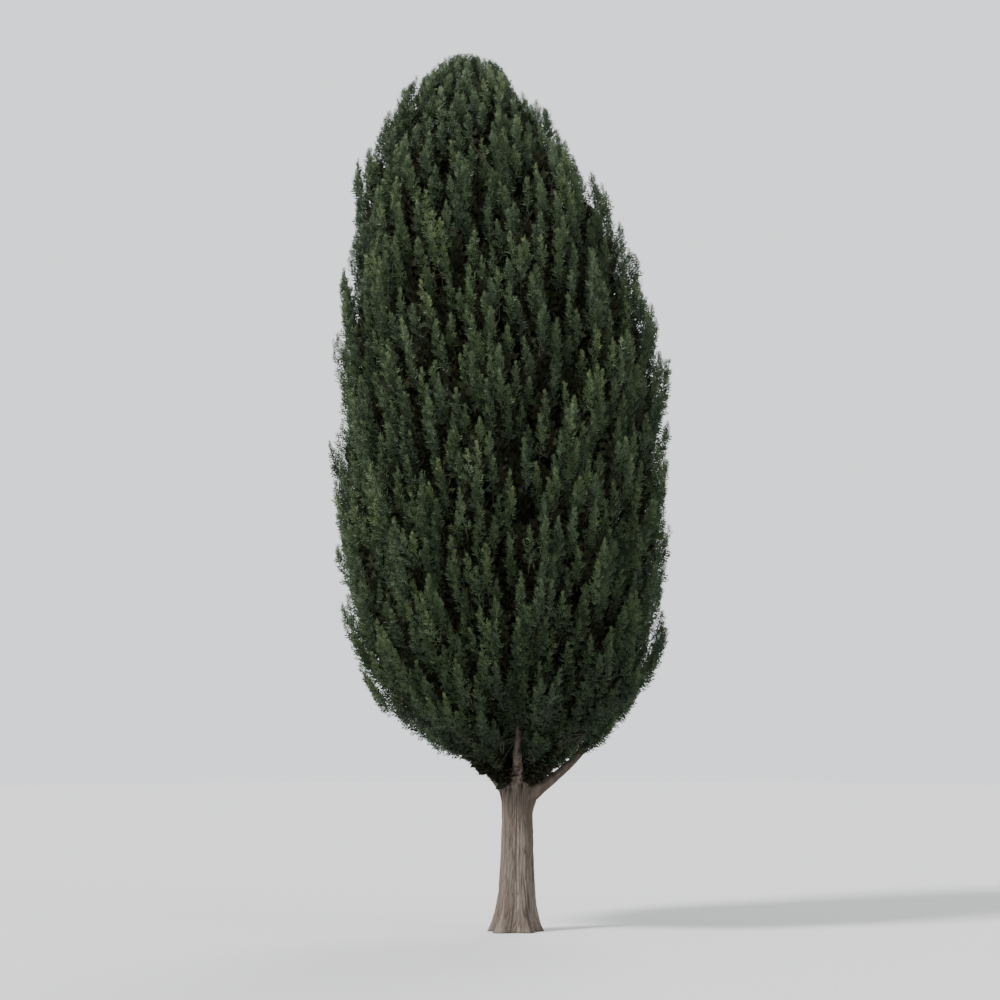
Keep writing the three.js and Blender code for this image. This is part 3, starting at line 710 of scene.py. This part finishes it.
wood_points, wood_faces, wood_tones = [points], [faces], [np.zeros(len(faces))]
for shoots, tone in ((outer, 1), (inner, 0)):
    joint, begin = shoots["joint"], shoots["begin"]
    bend = begin - shoots["first"] * (TWIG_BEND * np.linalg.norm(begin - joint, axis=-1))[:, None]
    bare = bezier(joint[:, None], bend[:, None], begin[:, None], np.linspace(0, 1, WOOD_RINGS)[None])
    share = np.repeat(np.linspace(0, TWIG_END, SHOOT_RINGS)[None, 1:], len(bend), axis=0)
    leafy, _ = along_shoot(shoots, share)
    centres = np.concatenate([bare, leafy], axis=1)
    radii = np.repeat(np.linspace(*TWIG_RADII, centres.shape[1])[None], len(bend), axis=0)
    points, faces = close_rings(rings_along(centres, radii, TWIG_SIDES))
    wood_faces.append(faces + sum(len(p) for p in wood_points))
    wood_points.append(points)
    wood_tones.append(np.full(len(faces), tone))


def plain_look(name, colour, roughness, shine=0.35):
    """A material of one base colour, which a whole spray or twig has."""
    look = bpy.data.materials.new(name)
    look.use_nodes = True
    shader = look.node_tree.nodes["Principled BSDF"]
    shader.inputs["Base Color"].default_value = (*colour, 1)
    shader.inputs["Roughness"].default_value = roughness
    shader.inputs["Specular IOR Level"].default_value = shine
    return look


# The old twigs of the tufts and of the inner shoots stand inside the crown. Their brown-grey wood is
# coloured darker than it is, as painted shade.
twig_looks = [
    plain_look("old twig with painted shade", (0.023, 0.018, 0.013), 0.9, 0.15),
    plain_look("young twig", (0.040, 0.040, 0.020), 0.75),
]
twigs = add_piece(
    "twigs", np.concatenate(wood_points), np.concatenate(wood_faces), twig_looks, np.concatenate(wood_tones)
)

# The leaves are tiny scales pressed to fine green branchlets, which stand round each shoot in feathery
# sprays. A spray here is a closed spike for its middle and folded blades for its side branchlets.
SPRAYS = 24  # to each outer shoot
SIDE_BLADES = 6
SPRAY_LENGTH = 0.175
SPIKE_SIDES = 3
SPIKE_WIDTH = 0.055  # shares of the spray's length
BLADE_LENGTH = 0.46
BLADE_WIDTH = 0.108
BLADE_FOLD = 0.02
BLADE_WAIST = 0.42  # a blade is widest at this share of its own length
BLADES_FROM, BLADES_RUN = 0.05, 0.68  # where the blades start along the spike
BLADE_PHASE = 0.6
BLADE_LOSS = 0.45  # how much shorter the last blade is
BLADE_LEAN, BLADE_LEAN_LOSS = 48, 16  # degrees from the spike, and how much less the last blade leans
BLADE_TILT, BLADE_TILT_STEP, BLADE_TILT_START = 0.7, 2.4, 1  # blades tilt out of the flat in turn
BLADE_TWIST = 0.25
INNER_SPRAYS = 14
INNER_SPRAY_LENGTH = 0.33
INNER_BLADES = 3
INNER_SPIKE_WIDTH = 0.12
INNER_BLADE_LENGTH = 0.6
INNER_BLADE_WIDTH = 0.3
INNER_LEAST_DEPTH = 0.1  # coarse sprays keep this far inside the outline
INNER_TOP = 9.7  # and below this height
OUTSIDE = 0.015  # sprays that leave the outline by more than this are left out
ABOVE_TIP = 0.01
SPRAYS_FROM = 0.16  # share of the shoot where the first sprays stand
SPRAY_PHASE, SPRAY_JITTER = 0.3, 0.5
SPRAY_CROWDING = 0.85  # the power that crowds sprays towards the tip
LAST_SPRAY, LAST_LEAN = 0.97, 0.05
TURN_PER_SHOOT, SPRAY_TURN_JITTER = 1.7, 0.6
OUTWARD = 0.55  # how much sprays crowd to the outer side
SPRAY_LEAN, SPRAY_LEAN_LOSS, SPRAY_LEAN_JITTER = 52, 34, 16  # degrees from the shoot
SPRAY_ROLL = 2.4
SHORT_SPRAY, SPRAY_SWELLING = 0.55, 0.45  # a spray's length along the shoot swells as a sine
SWELLING_END, SWELLING_POWER = 0.9, 1.2
SIZE_AT_FOOT, SIZE_LOSS = 1.1, 0.45  # and falls towards the shoot's tip
SIZE_LEAST, SIZE_RANGE = 0.8, 0.4  # and differs by chance
OUTER_SPRAY_SEED, INNER_SPRAY_SEED, ROLL_SEED, SIZE_SEED = 5, 77, 9, 3
TONE_AT_FOOT, TONE_RISE = 0.7, 2.1  # a spray's tone along the shoot
TONE_BY_TUFT, TONE_BY_SHOOT, TONE_BY_SPRAY = 0.8, 1.2, 1.3
TUFT_TONE_SEED, SHOOT_TONE_SEED = 9, 31
MOST_TRIANGLES = 190_000


def spray_template(blades, blade_length, blade_width, spike_width):
    """One spray of length 1 along +Y. A spike of three sides is its middle. Blades leave it to either side
    in turn, each of two faces folded along its midrib, and are shorter towards the tip."""
    turn = np.arange(SPIKE_SIDES) * 2 * np.pi / SPIKE_SIDES
    ring = np.stack([spike_width / 2 * np.cos(turn), 0 * turn, spike_width / 2 * np.sin(turn)], -1)
    points = [*ring, (0, 1, 0)]
    faces = [(0, 1, 3), (1, 2, 3), (2, 0, 3), (0, 2, 1)]
    for b in range(blades):
        share = (b + BLADE_PHASE) / (blades + BLADE_PHASE)
        hand = 1 if b % 2 else -1
        tilt = BLADE_TILT * math.sin(BLADE_TILT_STEP * b + BLADE_TILT_START)
        lean = math.radians(BLADE_LEAN - BLADE_LEAN_LOSS * share)
        heading = np.array([
            hand * math.sin(lean) * math.cos(tilt),
            math.cos(lean),
            math.sin(lean) * math.sin(tilt),
        ])
        length = blade_length * (1 - BLADE_LOSS * share)
        start = np.array([0, BLADES_FROM + BLADES_RUN * share, 0])
        across = np.cross(heading, [-math.sin(tilt) * hand, BLADE_TWIST, math.cos(tilt)])
        across = across / np.linalg.norm(across)
        fold = np.cross(across, heading) * BLADE_FOLD
        middle = start + heading * length * BLADE_WAIST
        wing = across * blade_width / 2
        first = len(points)
        points += [start, middle + wing + fold, start + heading * length, middle - wing + fold]
        faces += [(first, first + 1, first + 2), (first, first + 2, first + 3)]
    return np.array(points, float), np.array(faces)


def set_sprays(shoots, count, longest, template, seed, least_depth, highest):
    """Sprays up each shoot by the golden angle. They crowd to the outer side, lean out from the shoot less
    towards its tip, grow shorter there, and the last one carries the shoot's line on."""
    points, faces = template
    s, i = np.meshgrid(np.arange(len(shoots["mass"])), np.arange(count), indexing="ij")
    order = (i + SPRAY_PHASE + SPRAY_JITTER * chance(s, i + seed)) / count
    share = SPRAYS_FROM + (1 - SPRAYS_FROM) * order**SPRAY_CROWDING
    share[:, -1] = LAST_SPRAY
    start, heading = along_shoot(shoots, share)
    outward = shoots["out"][:, None] - heading * (shoots["out"][:, None] * heading).sum(-1, keepdims=True)
    outward = unit(outward + [TINY, 0, 0])
    beside = np.cross(heading, outward)
    turn = i * GOLDEN_ANGLE + s * TURN_PER_SHOOT + SPRAY_TURN_JITTER * chance(s + 0.5, i)
    turn = turn - OUTWARD * np.sin(turn)
    spoke = np.cos(turn)[..., None] * outward + np.sin(turn)[..., None] * beside
    jitter = SPRAY_LEAN_JITTER * (chance(i, s + seed) - 0.5)
    lean = np.radians(SPRAY_LEAN - SPRAY_LEAN_LOSS * share + jitter)
    lean[:, -1] = LAST_LEAN
    along = np.cos(lean)[..., None] * heading + np.sin(lean)[..., None] * spoke
    face_out = np.cos(lean)[..., None] * spoke - np.sin(lean)[..., None] * heading
    across = np.cross(along, face_out)
    roll = SPRAY_ROLL * (chance(s, i + seed + ROLL_SEED) - 0.5)
    side = np.cos(roll)[..., None] * across + np.sin(roll)[..., None] * face_out
    normal = np.cross(side, along)
    swelling = np.sin(np.pi * np.clip(share, 0, SWELLING_END) ** SWELLING_POWER)
    size = longest * (SHORT_SPRAY + SPRAY_SWELLING * swelling) * (SIZE_AT_FOOT - SIZE_LOSS * share)
    size = size * (SIZE_LEAST + SIZE_RANGE * chance(s + SIZE_SEED, i))
    end = start + along * size[..., None]
    kept = (depth_in_crown(end) > least_depth) & (end[..., 2] < highest)
    frames = np.stack([side, along, normal], axis=-2)[kept]
    placed = start[kept][:, None] + size[kept][:, None, None] * (points @ frames)
    return {
        "points": placed,
        "faces": faces,
        "mass": shoots["mass"][s[kept]],
        "tuft": shoots["tuft"][s[kept]],
        "shoot": s[kept],
        "count": i[kept],
        "share": share[kept],
    }


outer_template = spray_template(SIDE_BLADES, BLADE_LENGTH, BLADE_WIDTH, SPIKE_WIDTH)
inner_template = spray_template(INNER_BLADES, INNER_BLADE_LENGTH, INNER_BLADE_WIDTH, INNER_SPIKE_WIDTH)
outer_sprays = set_sprays(
    outer, SPRAYS, SPRAY_LENGTH, outer_template, OUTER_SPRAY_SEED, -OUTSIDE, TREE_HEIGHT + ABOVE_TIP
)
inner_sprays = set_sprays(
    inner, INNER_SPRAYS, INNER_SPRAY_LENGTH, inner_template, INNER_SPRAY_SEED, INNER_LEAST_DEPTH, INNER_TOP
)

leaf_looks = [
    plain_look("inner leaf", (0.018, 0.021, 0.010), 0.85, 0.12),
    plain_look("shaded leaf", (0.015, 0.027, 0.011), 0.62),
    plain_look("leaf", (0.025, 0.043, 0.016), 0.58),
    plain_look("sunlit leaf", (0.039, 0.061, 0.020), 0.55),
    plain_look("new leaf", (0.062, 0.084, 0.027), 0.52),
]


def deal_tones(sprays):
    """The tone of each spray: lighter towards a shoot's tip, and by chance for tufts, shoots and sprays."""
    shoot, share = sprays["shoot"], sprays["share"]
    level = TONE_AT_FOOT + TONE_RISE * share + TONE_BY_TUFT * (chance(sprays["tuft"], TUFT_TONE_SEED) - 0.5)
    level = level + TONE_BY_SHOOT * (chance(shoot, SHOOT_TONE_SEED) - 0.5)
    level = level + TONE_BY_SPRAY * (chance(shoot, sprays["count"] + 0.5) - 0.5)
    return np.clip(np.round(level), 1, len(leaf_looks) - 1).astype(int)


def by_mass(sprays, tones, wanted):
    """The points, faces and tones of the sprays of some masses."""
    chosen = np.isin(sprays["mass"], wanted)
    points = sprays["points"][chosen]
    corners = points.shape[1]
    faces = sprays["faces"][None] + (np.arange(len(points)) * corners)[:, None, None]
    return points.reshape(-1, 3), faces.reshape(-1, 3), np.repeat(tones[chosen], len(sprays["faces"]))


outer_tones = deal_tones(outer_sprays)
inner_tones = np.zeros(len(inner_sprays["mass"]), int)
triangles = (
    np.bincount(outer_sprays["mass"], minlength=BOUGHS + 1) * len(outer_sprays["faces"])
    + np.bincount(inner_sprays["mass"], minlength=BOUGHS + 1) * len(inner_sprays["faces"])
)
groups, held = [[]], 0
for mass, count in enumerate(triangles):
    if held + count > MOST_TRIANGLES:
        groups.append([])
        held = 0
    groups[-1].append(mass)
    held += count
for n, group in enumerate(groups):
    fine = by_mass(outer_sprays, outer_tones, group)
    coarse = by_mass(inner_sprays, inner_tones, group)
    leaves = add_piece(
        f"leaves_{n + 1}",
        np.concatenate([fine[0], coarse[0]]),
        np.concatenate([fine[1], coarse[1] + len(fine[0])]),
        leaf_looks,
        np.concatenate([fine[2], coarse[2]]),
        smooth=False,
    )
    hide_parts(*("foliage_top" if mass == BOUGHS else f"foliage_{mass + 1:02d}" for mass in group))

bpy.context.view_layer.update()
